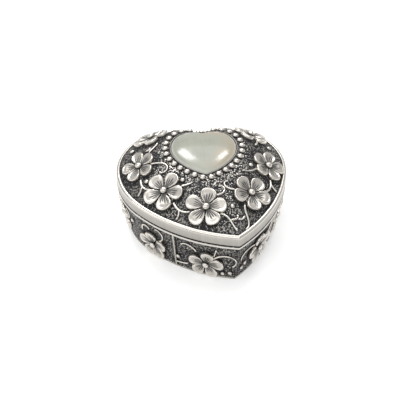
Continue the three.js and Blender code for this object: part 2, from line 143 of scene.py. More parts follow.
# Relief of the wall: share of the way round from the tip and share of the wall's height, then as above
WALL_FLOWERS = [
    (-0.0595, 0.36, 14, 0.95), (-0.175, 0.345, 20, 0.91), (-0.282, 0.45, 40, 0.97), (-0.386, 0.42, 10, 0.96),
    (0.070, 0.47, 30, 0.97), (0.178, 0.40, 5, 0.95), (0.282, 0.45, 50, 0.97), (0.386, 0.42, 20, 0.97),
]
WALL_DOTS = [
    (-0.116, 0.36), (-0.025, 0.15), (-0.011, 0.19), (0.018, 0.27), (0.026, 0.36), (0.23, 0.70), (-0.23, 0.65),
    (0.125, 0.30), (-0.335, 0.70), (0.335, 0.70),
]
WALL_TENDRILS = [
    (-0.077, 0.68, 115, 10, 6, 20), (-0.046, 0.55, 55, 18.9, -5, -17), (-0.044, 0.64, 78, 5.3, 0, 0),
    (-0.095, 0.22, -160, 7.0, -2, -4), (-0.166, 0.50, 25, 13.8, 4, 22), (-0.198, 0.63, 95, 9.2, -6, -34),
    (0.053, 0.68, 145, 13.2, 6, 15), (0.098, 0.62, 40, 12, 4, 20), (0.150, 0.45, 150, 12, -4, -22),
    (0.205, 0.60, 60, 11, -6, -24), (0.255, 0.50, 150, 10, -4, -24), (0.310, 0.60, 50, 12, -5, -24),
    (0.360, 0.50, 140, 10, -4, -24), (0.412, 0.50, 35, 14, 4, 18), (-0.255, 0.50, 40, 9, 4, 26),
    (-0.310, 0.60, 130, 12, 5, 24), (-0.360, 0.50, 50, 10, 4, 24), (-0.412, 0.50, 145, 14, -4, -18),
]
WALL_RIBS = [-0.123, 0.123, -0.45, 0.45]


# Outlines

def arc(centre, radius, start, end, steps):
    angle = np.radians(start + (end - start) * np.arange(1, steps + 1) / steps)
    return np.asarray(centre) + radius * np.stack([np.cos(angle), np.sin(angle)], axis=1)


def bearing_of(vector):
    return math.degrees(math.atan2(vector[1], vector[0]))


def lower_side(shape, half, flank_end, tip):
    """The arc that leaves the lower flank smoothly and runs through the tip."""
    radius = shape["lower_flank"] * half
    flank = np.array([half - radius, 0.0])
    outward = np.array([math.cos(math.radians(flank_end)), math.sin(math.radians(flank_end))])
    start = flank + outward * radius
    chord = tip - start
    reach = chord @ chord / (-2 * chord @ outward)
    return flank, radius, flank_end, start - outward * reach, reach


def lower_crossing(centre_a, radius_a, centre_b, radius_b):
    line = centre_b - centre_a
    span = math.hypot(*line)
    along = (radius_a ** 2 - radius_b ** 2 + span ** 2) / (2 * span)
    across = math.sqrt(max(radius_a ** 2 - along ** 2, 0.0))
    foot = centre_a + line * along / span
    side = np.array([-line[1], line[0]]) * across / span
    return min(foot + side, foot - side, key=lambda point: point[1])


def heart(shape, half, inset, steps):
    """A heart of tangent arcs moved inwards by inset, from the notch over the right lobe to the tip
    and back over the left lobe. Y = 0 is its widest line, and each inset has as many points."""
    mirror = np.array([-1.0, 1.0])
    upper_radius = shape["upper_flank"] * half
    lobe_radius = shape["lobe"] * half
    notch_radius = shape["notch_round"] * half
    upper = np.array([half - upper_radius, 0.0])
    turn = math.radians(shape["lobe_angle"])
    lobe = upper + (upper_radius - lobe_radius) * np.array([math.cos(turn), math.sin(turn)])
    notch_rise = math.sqrt(max((lobe_radius + notch_radius) ** 2 - lobe[0] ** 2, 0.0))
    notch = np.array([0.0, lobe[1] + notch_rise])
    notch_angle = bearing_of((-lobe[0], notch_rise))
    tip = np.array([shape["tip_aside"] * half, -shape["tip_drop"] * half])
    right = lower_side(shape, half, shape["flank_end_right"], tip)
    left = lower_side(shape, half, shape["flank_end_left"], tip * mirror)
    rounding = max(shape["tip_round"] * half - inset, EDGE_BEVEL)
    shrink = inset + rounding
    tip_centre = lower_crossing(right[3], right[4] - shrink, left[3] * mirror, left[4] - shrink)

    def half_outline(side, tip_spot):
        flank, flank_radius, flank_end, centre, radius = side
        return np.concatenate([
            arc(notch, notch_radius + inset, -90, notch_angle - 180, steps["notch"]),
            arc(lobe, lobe_radius - inset, notch_angle, shape["lobe_angle"], steps["lobe"]),
            arc(upper, upper_radius - inset, shape["lobe_angle"], 0, steps["upper_flank"]),
            arc(flank, flank_radius - inset, 0, flank_end, steps["lower_flank"]),
            arc(centre, radius - inset, flank_end, bearing_of(tip_spot - centre), steps["side"]),
        ])

    from_angle = bearing_of(tip_centre - right[3])
    to_angle = bearing_of(tip_centre - left[3] * mirror)
    return np.concatenate([
        [[0.0, notch[1] - notch_radius - inset]],
        half_outline(right, tip_centre),
        arc(tip_centre, rounding, from_angle, to_angle, steps["tip"])[:-1],
        (half_outline(left, tip_centre * mirror) * mirror)[::-1],
    ])


BOX_MIDDLE = np.array([0.0, LID_LOW[1] - heart(BOX_SHAPE, HALF_WIDTH, 0, BOX_STEPS)[:, 1].min()])
STONE_MIDDLE = np.array([
    (STONE_LOW[0] + STONE_HIGH[0]) / 2,
    STONE_LOW[1] + STONE_TIP_BACK - heart(STONE_SHAPE, STONE_HALF, 0, STONE_STEPS)[:, 1].min(),
])


def box_outline(inset):
    return heart(BOX_SHAPE, HALF_WIDTH, inset, BOX_STEPS) + BOX_MIDDLE


def stone_outline(inset):
    return heart(STONE_SHAPE, STONE_HALF, inset, STONE_STEPS) + STONE_MIDDLE


def at_height(outline, height):
    return np.column_stack([outline, np.full(len(outline), height)])


# Dome of the lid, laid out by bearing from the stone's middle and share of the way from rim to seat

BEARINGS = np.radians(np.arange(-180, 180, 0.25))
# Inwards of the rim the dome's outline is blurred, by degrees, so that the notch and tip run out softly
SOFT_BLUR = 9
SEAT_BLUR = 3
SOFT_FROM = 0.3
SHARE_HALVINGS = 14


def reach_table(outline, blur_degrees):
    """Distance from the stone's middle to an outline for each bearing, evened out by a soft blur."""
    offset = outline - STONE_MIDDLE
    angle = np.arctan2(offset[:, 1], offset[:, 0])
    order = np.argsort(angle)
    reach = np.interp(BEARINGS, angle[order], np.hypot(*offset.T)[order], period=2 * math.pi)
    if blur_degrees:
        turns = np.fft.rfftfreq(len(reach), 1 / len(reach))
        reach = np.fft.irfft(np.fft.rfft(reach) * np.exp(-0.5 * (turns * math.radians(blur_degrees)) ** 2))
    return reach


RIM_REACH = reach_table(box_outline(DOME_INSET), 0)
SOFT_REACH = reach_table(box_outline(DOME_INSET), SOFT_BLUR)
SEAT_REACH = reach_table(stone_outline(-SEAT_MARGIN), SEAT_BLUR)


def dome_reach(angle, share):
    """Distance from the stone's middle at a share of the way from the rim to the seat."""
    def look_up(table):
        return np.interp(angle, BEARINGS, table, period=2 * math.pi)
    softness = np.clip(share / SOFT_FROM, 0, 1)
    softness = softness * softness * (3 - 2 * softness)
    outer = look_up(RIM_REACH) * (1 - softness) + look_up(SOFT_REACH) * softness
    return outer * (1 - share) + look_up(SEAT_REACH) * share


def dome_level(share):
    return DOME_FOOT + DOME_RISE * (1 - (1 - np.clip(share, 0, 1)) ** DOME_ROUNDNESS)


def dome_share(x, y):
    """Share of the way from the rim to the seat, found by halving the interval."""
    dx = np.asarray(x, float) - STONE_MIDDLE[0]
    dy = np.asarray(y, float) - STONE_MIDDLE[1]
    angle = np.arctan2(dy, dx)
    radius = np.hypot(dx, dy)
    low = np.zeros_like(radius)
    high = np.ones_like(radius)
    for _ in range(SHARE_HALVINGS):
        middle = (low + high) / 2
        outside = dome_reach(angle, middle) > radius
        low = np.where(outside, middle, low)
        high = np.where(outside, high, middle)
    return (low + high) / 2


def on_dome(x, y, height):
    """Points at a height above the dome, along its normal."""
    step = 0.4

    def level(at_x, at_y):
        return dome_level(dome_share(at_x, at_y))
    x = np.asarray(x, float)
    y = np.asarray(y, float)
    slope_x = (level(x + step, y) - level(x - step, y)) / (2 * step)
    slope_y = (level(x, y + step) - level(x, y - step)) / (2 * step)
    normal = np.stack([-slope_x, -slope_y, np.ones_like(slope_x)], axis=-1)
    normal /= np.linalg.norm(normal, axis=-1, keepdims=True)
    return np.stack([x, y, level(x, y)], axis=-1) + normal * np.asarray(height)[..., None]


def dome_place(bearing, share):
    angle = math.radians(bearing)
    return STONE_MIDDLE + float(dome_reach(angle, share)) * np.array([math.cos(angle), math.sin(angle)])


def dome_patch(spot):
    """A flat patch laid on the dome, which keeps its true size along the slope."""
    base = on_dome(spot[0], spot[1], 0.0)
    normal = on_dome(spot[0], spot[1], 1.0) - base
    along = np.array([1.0, 0.0, 0.0]) - normal * normal[0]
    along /= np.linalg.norm(along)
    across = np.cross(normal, along)

    def place(a, b, height):
        a = np.asarray(a, float)[..., None]
        b = np.asarray(b, float)[..., None]
        point = base + a * along + b * across
        return on_dome(point[..., 0], point[..., 1], height)
    return place


# Wall of the base, laid out by distance round the rim from the tip and by level

RIM_LINE = box_outline(0)
RIM_STEPS = np.linalg.norm(np.roll(RIM_LINE, -1, axis=0) - RIM_LINE, axis=1)
RIM_LENGTH = RIM_STEPS.sum()
TIP_INDEX = int(RIM_LINE[:, 1].argmin())
RIM_DISTANCE = np.concatenate([[0.0], np.cumsum(RIM_STEPS)])
TIP_DISTANCE = RIM_DISTANCE[TIP_INDEX]
# The chart of the wall reaches this far off its rim and inwards of its foot
CHART_OUTWARDS = 2.5
CHART_INWARDS = 2.7
CHART_LINES = 41
INSETS = np.linspace(-CHART_OUTWARDS, FOOT_INSET + CHART_INWARDS, CHART_LINES)
WALL_TABLE = np.stack([box_outline(inset) for inset in INSETS])


def wall_inset(z):
    return FOOT_INSET + (RIM_OVERHANG - FOOT_INSET) * np.clip(z / WALL_TOP, 0, 1)


def on_wall(distance, z, height):
    """Points on the wall: distance round from the tip, positive towards +X, level and height off it."""
    distance, z, height = np.broadcast_arrays(*(np.asarray(v, float) for v in (distance, z, height)))
    place = np.interp((TIP_DISTANCE - distance) % RIM_LENGTH, RIM_DISTANCE, np.arange(len(RIM_DISTANCE)))
    low = np.floor(place).astype(int) % len(RIM_LINE)
    part = (place - np.floor(place))[..., None]
    high = (low + 1) % len(RIM_LINE)
    level = (wall_inset(z) - height - INSETS[0]) / (INSETS[1] - INSETS[0])
    level = np.clip(level, 0, len(INSETS) - 1.001)
    row = np.floor(level).astype(int)
    share = (level - row)[..., None]

    def look_up(index):
        return WALL_TABLE[row, index] * (1 - share) + WALL_TABLE[row + 1, index] * share
    point = look_up(low) * (1 - part) + look_up(high) * part
    return np.concatenate([point, z[..., None]], axis=-1)


def wall_patch(spot):
    def place(a, b, height):
        return on_wall(spot[0] + np.asarray(a, float), spot[1] + np.asarray(b, float), height)
    return place


def wall_place(share, rise):
    return share * RIM_LENGTH, rise * WALL_TOP


# Mesh helpers

class Shape:
    """Points, faces and a tone for each point, which is 0 in dark hollows and 1 on polished heights, with
    painted shade and painted sheen mixed in.
    """

    def __init__(self):
        self.points = []
        self.faces = []
        self.wear = []
        self.count = 0

    def add(self, points, faces, wear):
        points = np.asarray(points, float).reshape(-1, 3)
        self.points.append(points)
        self.wear.append(np.broadcast_to(np.asarray(wear, float).ravel(), (len(points),)))
        self.faces.extend([tuple(int(i) + self.count for i in face) for face in faces])
        self.count += len(points)

    def build(self, name, node, material):
        mesh = bpy.data.meshes.new(name)
        points = np.concatenate(self.points) / METRE
        mesh.from_pydata(points.tolist(), [], self.faces)
        # The tone attribute holds patina and rubbed metal together with painted shade and painted sheen
        attribute = mesh.attributes.new("wear", "FLOAT", "POINT")
        attribute.data.foreach_set("value", np.clip(np.concatenate(self.wear), 0, 1).astype(np.float32))
        mesh.polygons.foreach_set("use_smooth", [True] * len(mesh.polygons))
        mesh.materials.append(material)
        mesh.validate()
        piece = bpy.data.objects.new(name, mesh)
        bpy.context.scene.collection.objects.link(piece)
        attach(piece, "root")
        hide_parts(node)


def ring_faces(rows, columns, flip=False):
    """Four-sided faces between closed rings of points."""
    faces = []
    for k in range(rows - 1):
        for i in range(columns):
            j = (i + 1) % columns
            face = (k * columns + i, k * columns + j, (k + 1) * columns + j, (k + 1) * columns + i)
            faces.append(face[::-1] if flip else face)
    return faces


def smooth_step(value, low, high):
    share = np.clip((np.asarray(value, float) - low) / (high - low), 0, 1)
    return share * share * (3 - 2 * share)


def close_shell(shape, rings, tones, flip=False):
    """A skin through rings, closed by a flat face at both ends."""
    count = len(rings[0])
    last = (len(rings) - 1) * count
    first_face = tuple(range(count - 1, -1, -1))
    last_face = tuple(last + i for i in range(count))
    ends = [first_face[::-1], last_face[::-1]] if flip else [first_face, last_face]
    shape.add(np.concatenate(rings), ring_faces(len(rings), count, flip) + ends, np.concatenate(tones))


# Stippled ground: a repeating lattice of grains, their places in its cells, their heights and their radius

GRAIN_LATTICE = 64
GRAIN_JITTER = (0.12, 0.88)
GRAIN_LIFT = (0.45, 1.0)
GRAIN_RADIUS = 0.52
GROUND_LEVEL = 0.4
LID_GRAIN_SEED = 5
WALL_GRAIN_SEED = 9
# Patina and painted contact shade round the relief: the ring of a flower's petals as a share of its
# radius, half widths of the others, and how the darkening fades away from them
PETAL_RING = 0.8
TENDRIL_SHADOW = 0.6
BEAD_SHADOW = 1.1
SHADOW_START = 0.1
SHADOW_FADE = 0.45


def grains(x, y, pitch, seed):
    """Rounded grains scattered on a jittered lattice: 1 on top of a grain and 0 between them."""
    rng = np.random.default_rng(seed)
    jitter = rng.uniform(*GRAIN_JITTER, (GRAIN_LATTICE, GRAIN_LATTICE, 2))
    lift = rng.uniform(*GRAIN_LIFT, (GRAIN_LATTICE, GRAIN_LATTICE))
    column = np.floor(x / pitch).astype(int)
    row = np.floor(y / pitch).astype(int)
    top = np.zeros_like(x, dtype=float)
    for i in (-1, 0, 1):
        for j in (-1, 0, 1):
            a = (column + i) % GRAIN_LATTICE
            b = (row + j) % GRAIN_LATTICE
            dx = x - (column + i + jitter[a, b, 0]) * pitch
            dy = y - (row + j + jitter[a, b, 1]) * pitch
            near = np.clip(1 - (dx * dx + dy * dy) / (GRAIN_RADIUS * pitch) ** 2, 0, 1)
            top = np.maximum(top, near * lift[a, b])
    return top


def relief_shadow(x, y, flowers, lines, dots, flower_radius):
    """Patina and painted contact shade at the foot of the relief: 1 right beside it and 0 away from it."""
    def distance(spot):
        return np.hypot(x - spot[0], y - spot[1])
    near = np.full(x.shape, np.inf)
    for spot in flowers:
        to_ring = np.abs(distance(spot) - PETAL_RING * flower_radius)
        near = np.minimum(near, to_ring - (1 - PETAL_RING) * flower_radius)
    for line in lines:
        for spot in line[::2]:
            near = np.minimum(near, distance(spot) - TENDRIL_SHADOW)
    for spot in dots:
        near = np.minimum(near, distance(spot) - BEAD_SHADOW)
    return np.exp(-np.maximum(near - SHADOW_START, 0) / SHADOW_FADE)


# Relief

PETAL_COLUMNS = 41
PETAL_ROWS = 27
# Form of a petal: where it is widest, how narrow its foot is, how it flares and where its edge turns down
PETAL_WIDEST = 0.65
PETAL_FOOT = 0.14
PETAL_FLARE = 1.3
PETAL_EDGE = 0.86
# Petals of a flower: start and half width as shares of its radius, and how much they differ
PETAL_COUNT = 5
PETAL_START = 0.13
PETAL_HALF_WIDTH = 0.39
PETAL_SWAY = 3
LENGTH_SPREAD = (0.96, 1.03)
WIDTH_SPREAD = (0.95, 1.03)
# Height at a petal's foot as a share, then cup and rolled rim: size as a share of its height, place, spread
PETAL_FOOT_HEIGHT = 0.5
CUP = (0.30, 0.42, 0.26)
ROLL = (0.16, 0.78, 0.14)
# Veins: columns of the petal they lie on, how far they reach along it, and the dark they spill beside them
VEIN_MARGIN = 6
VEIN_STEP = 4
VEIN_REACH = (0.60, 0.80)
VEIN_NARROWING = 0.14
VEIN_FADE = 0.2
VEIN_SPILL = 0.5
PETAL_WEAR = 0.70
PETAL_FOOT_WEAR = 0.35
ROLL_WEAR = 0.95
FLOWER_BEAD_LIFT = 0.35

# A bead: slopes of its rings in degrees, above two rings at its root, and its form as shares of its radius
BEAD_SIDES = 18
BEAD_SLOPES = (0, 18, 36, 52, 66, 79)
BEAD_FOOT = 0.92
BEAD_LEVEL = 0.25
BEAD_TOP = 0.85
# Tone of the rings from root to top: dark at the root and on the lower side, patina together with painted
# shade, then polished on top
BEAD_PATINA_AND_SHADE = (0.0, 0.1, 0.35, 0.7, 0.9, 1.0, 1.0, 1.0)

# A tendril: its round profile, lengths in millimetres and widths as shares, with a knob at its end
TENDRIL_PROFILE = np.radians(np.linspace(0, 180, 9))
TENDRIL_STEP = 0.35
TENDRIL_LEAST_STEPS = 10
TENDRIL_SINK = 0.05
TENDRIL_TAPER = 0.35
TENDRIL_NARROW_START = 0.35
TENDRIL_START = 0.7
KNOB_GROWTH = 0.35
KNOB_FROM = 1.4
KNOB_FULL = 0.5
KNOB_END = 0.45
KNOB_CLOSING = 0.9


def bell(value, place, spread):
    return np.exp(-((value - place) / spread) ** 2)


def petal_grid():
    """Rows and columns of one petal: place along it, place across it, width and distance to its edge,
    each as a share."""
    across = np.sin(np.pi / 2 * np.linspace(-1, 1, PETAL_COLUMNS))[None, :]
    along = (np.sin(np.pi / 2 * np.linspace(-1, 1, PETAL_ROWS)) * 0.5 + 0.5)[:, None]
    beyond = np.clip(along - PETAL_WIDEST, 0, 1) / (1 - PETAL_WIDEST)
    flare = np.sin(np.pi / 2 * np.clip(along / PETAL_WIDEST, 0, 1)) ** PETAL_FLARE
    inner = along < PETAL_WIDEST
    width = np.where(inner, PETAL_FOOT + (1 - PETAL_FOOT) * flare, np.sqrt(np.clip(1 - beyond ** 2, 0, 1)))
    edge = np.where(inner, np.abs(across) + 0 * along, np.hypot(beyond, across * width))
    return along + 0 * across, across + 0 * along, width + 0 * across, edge


def petal_relief(sizes, rng, along, across, edge):
    """Height off the ground and tone of one petal, cupped and veined, with a rolled rim, darkened as painted
    contact shade where it drops to the ground.
    """
    cup_depth, cup_place, cup_spread = CUP
    roll_height, roll_place, roll_spread = ROLL
    height = PETAL_FOOT_HEIGHT + (1 - PETAL_FOOT_HEIGHT) * smooth_step(along, 0.05, 0.7)
    height = height - cup_depth * (1 - across ** 2) * bell(along, cup_place, cup_spread)
    height = height + roll_height * bell(edge, roll_place, roll_spread) * smooth_step(along, 0.2, 0.5)
    height = height * sizes.petal_height
    wear = PETAL_WEAR + (1 - PETAL_WEAR) * smooth_step(edge, 0.4, 0.8) * smooth_step(along, 0.25, 0.6)
    wear = wear * (PETAL_FOOT_WEAR + (1 - PETAL_FOOT_WEAR) * smooth_step(along, 0.0, 0.42))
    for column in range(VEIN_MARGIN, PETAL_COLUMNS - VEIN_MARGIN + 1, VEIN_STEP):
        reach = rng.uniform(*VEIN_REACH) - VEIN_NARROWING * abs(across[0, column])
        place = along[:, column]
        groove = (1 - smooth_step(place, reach - VEIN_FADE, reach)) * smooth_step(place, 0.02, 0.1)
        height[:, column] -= sizes.vein_depth * groove
        wear[:, column] *= 1 - groove
        for neighbour in (column - 1, column + 1):
            wear[:, neighbour] *= 1 - VEIN_SPILL * groove
    rolled = smooth_step(edge, 0.6, 0.8) * smooth_step(along, 0.04, 0.2)
    wear = np.maximum(wear, ROLL_WEAR * rolled)
    drop = np.sqrt(np.clip(1 - (np.clip(edge - PETAL_EDGE, 0, 1) / (1 - PETAL_EDGE)) ** 2, 0, 1))
    height = (height + ROOT_DEPTH) * drop - ROOT_DEPTH
    # Darker where the petal sinks to the ground at its edge: painted contact shade
    return height, wear * smooth_step(height, 0.1, 0.45 * sizes.petal_height)


def flower(shape, place, sizes, radius, turn, seed):
    """Five cupped petals with a rolled rim and veins that run out from the heart, round a bead."""
    rng = np.random.default_rng(seed)
    along, across, width, edge = petal_grid()
    start = PETAL_START * radius
    for petal in range(PETAL_COUNT):
        bearing = math.radians(turn + 360 / PETAL_COUNT * petal + rng.uniform(-PETAL_SWAY, PETAL_SWAY))
        length = radius * rng.uniform(*LENGTH_SPREAD)
        half = PETAL_HALF_WIDTH * radius * rng.uniform(*WIDTH_SPREAD)
        height, wear = petal_relief(sizes, rng, along, across, edge)
        distance = start + (length - start) * along
        side = across * width * half
        x = distance * math.cos(bearing) - side * math.sin(bearing)
        y = distance * math.sin(bearing) + side * math.cos(bearing)
        add_petal(shape, place(x, y, height), wear)
    dome_bead(shape, place, sizes.flower_bead / 2, FLOWER_BEAD_LIFT * sizes.petal_height)


def add_petal(shape, points, wear):
    """A petal's skin, closed by one face through its rim, which lies under the ground."""
    rows, columns = wear.shape
    index = np.arange(rows * columns).reshape(rows, columns)
    faces = [
        (index[k, i], index[k + 1, i], index[k + 1, i + 1], index[k, i + 1])
        for k in range(rows - 1) for i in range(columns - 1)
    ]
    rim = np.concatenate([index[0], index[1:, -1], index[-1, -2::-1], index[-2:0:-1, 0]])
    shape.add(points, faces + [tuple(rim)], wear)


def dome_bead(shape, place, radius, lift=0.0):
    """A round bead, a little flattened, with its root in the surface."""
    slope = np.radians(BEAD_SLOPES)
    swing = np.arange(BEAD_SIDES) * 2 * math.pi / BEAD_SIDES
    ring = radius * np.concatenate([[BEAD_FOOT, BEAD_FOOT], np.cos(slope)])[:, None]
    dome = lift + radius * (BEAD_LEVEL + BEAD_TOP * np.sin(slope))
    height = np.concatenate([[-ROOT_DEPTH, lift], dome])
    points = place(ring * np.cos(swing), ring * np.sin(swing), height[:, None] + 0 * swing)
    top = place(np.array([0.0]), np.array([0.0]), np.array([lift + (BEAD_LEVEL + BEAD_TOP) * radius]))
    count = len(height) * BEAD_SIDES
    last = count - BEAD_SIDES
    faces = ring_faces(len(height), BEAD_SIDES)
    faces += [(last + i, last + (i + 1) % BEAD_SIDES, count) for i in range(BEAD_SIDES)]
    faces += [tuple(range(BEAD_SIDES - 1, -1, -1))]
    wear = np.append(np.repeat(BEAD_PATINA_AND_SHADE, BEAD_SIDES), 1.0)
    shape.add(np.concatenate([points.reshape(-1, 3), top.reshape(-1, 3)]), faces, wear)


def tendril_taper(share, length):
    """Width along a tendril as a share: it starts narrow, thins out and ends in a small round knob."""
    distance = share * length
    opening = TENDRIL_NARROW_START + (1 - TENDRIL_NARROW_START) * smooth_step(distance, 0, TENDRIL_START)
    taper = (1 - TENDRIL_TAPER * share) * opening
    knob = 1 + KNOB_GROWTH * smooth_step(distance, length - KNOB_FROM, length - KNOB_FULL)
    end = np.sqrt(1 - KNOB_CLOSING * smooth_step(distance, length - KNOB_END, length))
    return taper * knob * end


def tendril(shape, place, start, sizes, heading, length, bend_start, bend_end):
    """A rounded ridge along a curve whose bend runs evenly from its start to its end."""
    steps = max(TENDRIL_LEAST_STEPS, int(length / TENDRIL_STEP))
    stride = length / steps
    share = np.linspace(0, 1, steps + 1)
    bend = bend_start + (bend_end - bend_start) * share
    angle = np.radians(heading) + np.concatenate([[0], np.cumsum(np.radians(bend[:-1]) * stride)])
    x = start[0] + np.concatenate([[0], np.cumsum(np.cos(angle[:-1]) * stride)])
    y = start[1] + np.concatenate([[0], np.cumsum(np.sin(angle[:-1]) * stride)])
    taper = tendril_taper(share, length)[:, None]
    aside = np.cos(TENDRIL_PROFILE) * sizes.tendril_width / 2 * taper
    a = x[:, None] - np.sin(angle)[:, None] * aside
    b = y[:, None] + np.cos(angle)[:, None] * aside
    height = np.sin(TENDRIL_PROFILE) * sizes.tendril_height * taper - TENDRIL_SINK
    height[:, [0, -1]] = -ROOT_DEPTH
    columns = len(TENDRIL_PROFILE)
    faces = ring_faces(steps + 1, columns)
    faces += [tuple(range(columns)), tuple(steps * columns + i for i in range(columns - 1, -1, -1))]
    wear = smooth_step(np.sin(TENDRIL_PROFILE), 0.25, 0.8) * np.ones((steps + 1, 1))
    shape.add(place(a, b, height), [face[::-1] for face in faces], wear)
    return np.column_stack([x, y])


# Lid

DOME_ROWS = 73
CROWN_ROWS = 9
# Tone of the ground: where there is no grain, what a grain adds and what the painted contact shade takes away
DOME_TONE_AND_SHADE = (0.31, 0.10, 0.72)
WALL_TONE_AND_SHADE = (0.23, 0.14, 0.78)
# Profile of the band: inset, drop below its top or rise over the seam, and tone, which falls to 0 along the
# lid's lower edge as painted shade of the seam
RIM_ROLL = [
    (DOME_INSET - 0.01, 0.42, 0.05), (1.67, 0.27, 0.7), (1.52, 0.19, 0.85), (1.20, 0.17, 0.9),
    (0.85, 0.27, 0.95), (0.50, 0.48, 1.0), (0.20, 0.80, 1.0), (0.05, 1.06, 0.95), (0.0, 1.3, 0.62),
    (0.0, 2.0, 0.57), (0.0, 3.4, 0.54),
]
BAND_FOOT = [
    (0.0, 0.80, 0.52), (0.02, 0.50, 0.52), (0.12, 0.36, 0.2), (0.28, 0.16, 0.0), (0.55, 0.0, 0.0),
    (LID_WALL, 0.0, 0.0), (LID_WALL, LIP_HEIGHT + 0.35, INSIDE_WEAR - 0.05),
]
# Profile of the bezel: inset from the stone's edge, level over the seat and tone, kept low as patina together
# with painted shade round the stone
BEZEL_PROFILE = [
    (-BEZEL_OUTER - BEZEL_BEVEL, -ROOT_DEPTH, 0.0), (-BEZEL_OUTER - BEZEL_BEVEL, 0.1, 0.0),
    (-BEZEL_OUTER, 0.35, 0.3), (-BEZEL_OUTER, BEZEL_HEIGHT - 0.25, 0.3),
    (-BEZEL_OUTER + BEZEL_BEVEL, BEZEL_HEIGHT, 0.55), (-BEZEL_INNER - BEZEL_BEVEL, BEZEL_HEIGHT, 0.45),
    (-BEZEL_INNER, BEZEL_HEIGHT - 0.2, 0.0), (-BEZEL_INNER, -ROOT_DEPTH, 0.0),
]


# The ground's tone, darkened beside the relief by painted contact shade
def ground_tone_with_shade(amounts, grain, shadow):
    bare, on_grain, in_shadow = amounts
    return (bare + on_grain * grain) * (1 - in_shadow * shadow)


def bead_row(sizes):
    """Middles of an even number of beads round the stone, with a gap at the tip."""
    line = stone_outline(-sizes.bead_gap)
    steps = np.linalg.norm(np.roll(line, -1, axis=0) - line, axis=1)
    distance = np.concatenate([[0.0], np.cumsum(steps)])
    count = 2 * round(distance[-1] / sizes.bead_pitch / 2)
    start = distance[line[:, 1].argmin()]
    at = (start + (np.arange(count) + 0.5) * distance[-1] / count) % distance[-1]
    loop = np.vstack([line, line[:1]])
    return np.column_stack([np.interp(at, distance, loop[:, 0]), np.interp(at, distance, loop[:, 1])])


def crown_rings(angle):
    """Inside of the lid, from its wall up to the flat under the stone."""
    inner_rim = reach_table(box_outline(LID_WALL), 0)
    inner_seat = reach_table(stone_outline(0), SEAT_BLUR)
    for share in np.linspace(0, 1, CROWN_ROWS):
        table = inner_rim * (1 - share) + inner_seat * share
        radius = np.interp(angle, BEARINGS, table, period=2 * math.pi)
        ring = STONE_MIDDLE + radius[:, None] * np.column_stack([np.cos(angle), np.sin(angle)])
        yield at_height(ring, float(dome_level(share)) - CROWN_WALL)


def lid_body(sizes, ground, flowers, lines, dots):
    edge = box_outline(DOME_INSET)
    offset = edge - STONE_MIDDLE
    angle = np.arctan2(offset[:, 1], offset[:, 0])
    shares = np.linspace(1, 0, DOME_ROWS)[:, None]
    radius = dome_reach(angle[None, :], shares)
    x = STONE_MIDDLE[0] + radius * np.cos(angle)
    y = STONE_MIDDLE[1] + radius * np.sin(angle)
    fade = smooth_step(shares, 0.02, 0.06) * (1 - smooth_step(shares, 0.97, 1.0))
    grain = grains(x, y, sizes.grain_pitch, LID_GRAIN_SEED)
    dome = on_dome(x, y, fade * (grain - GROUND_LEVEL) * sizes.grain_height)
    dome[-1] = at_height(edge, DOME_FOOT)
    shadow = relief_shadow(x, y, flowers, lines, dots, sizes.flower_radius)
    wear = ground_tone_with_shade(DOME_TONE_AND_SHADE, grain, shadow) * smooth_step(shares, 0.0, 0.03)
    band = [(inset, BAND_HEIGHT - drop, tone) for inset, drop, tone in RIM_ROLL] + BAND_FOOT
    crown = list(crown_rings(angle))
    rings = [*dome] + [at_height(box_outline(inset), SEAM + level) for inset, level, _ in band] + crown
    tones = [*wear] + [np.full(len(edge), tone) for *_, tone in band]
    tones += [np.full(len(edge), INSIDE_WEAR)] * len(crown)
    shell = Shape()
    close_shell(shell, rings, tones)
    shell.build("lid_body", "box_lid", ground)


def lid_bezel(pewter):
    bezel = Shape()
    rings = [at_height(stone_outline(inset), SEAT_LEVEL + level) for inset, level, _ in BEZEL_PROFILE]
    count = len(rings[0])
    last = (len(rings) - 1) * count
    faces = ring_faces(len(rings), count)
    faces += [(last + i, last + (i + 1) % count, (i + 1) % count, i) for i in range(count)]
    wear = np.repeat([tone for *_, tone in BEZEL_PROFILE], count)
    bezel.add(np.concatenate(rings), [face[::-1] for face in faces], wear)
    bezel.build("lid_bezel", "box_lid", pewter)


def build_lid(context):
    sizes = context.scene.heart_box_relief
    look = context.scene.heart_box_finish
    pewter = pewter_material(look, "pewter_relief", grainy=False)
    ground = pewter_material(look, "pewter_ground", grainy=True)
    flowers = [(dome_place(bearing, share), turn, size) for bearing, share, turn, size in LID_FLOWERS]
    dots = [dome_place(bearing, share) for bearing, share in LID_DOTS]
    beads = bead_row(sizes)

    vines = Shape()
    lines = [
        tendril(vines, on_dome, dome_place(bearing, share), sizes, *course)
        for bearing, share, *course in LID_TENDRILS
    ]
    for spot in dots:
        dome_bead(vines, dome_patch(spot), sizes.dot_bead / 2)
    vines.build("lid_tendrils", "box_lid", pewter)

    row = Shape()
    for spot in beads:
        dome_bead(row, dome_patch(spot), sizes.ring_bead / 2)
    row.build("lid_bead_row", "box_lid", pewter)

    blossoms = Shape()
    for seed, (spot, turn, size) in enumerate(flowers):
        flower(blossoms, dome_patch(spot), sizes, size * sizes.flower_radius, turn, seed)
    blossoms.build("lid_flowers", "box_lid", pewter)

    lid_body(sizes, ground, [spot for spot, *_ in flowers], lines, [*dots, *beads])
    lid_bezel(pewter)


# Base

WALL_ROWS = 64
WALL_FLOWER_SEED = 40
RIB_HALF_WIDTH = 0.38
RIB_STAND = 0.62
RIB_WEAR = 0.85
# The groove beside a rib: distance from middle to middle, half width and depth
RIB_GROOVE = (0.95, 0.55, 0.45)
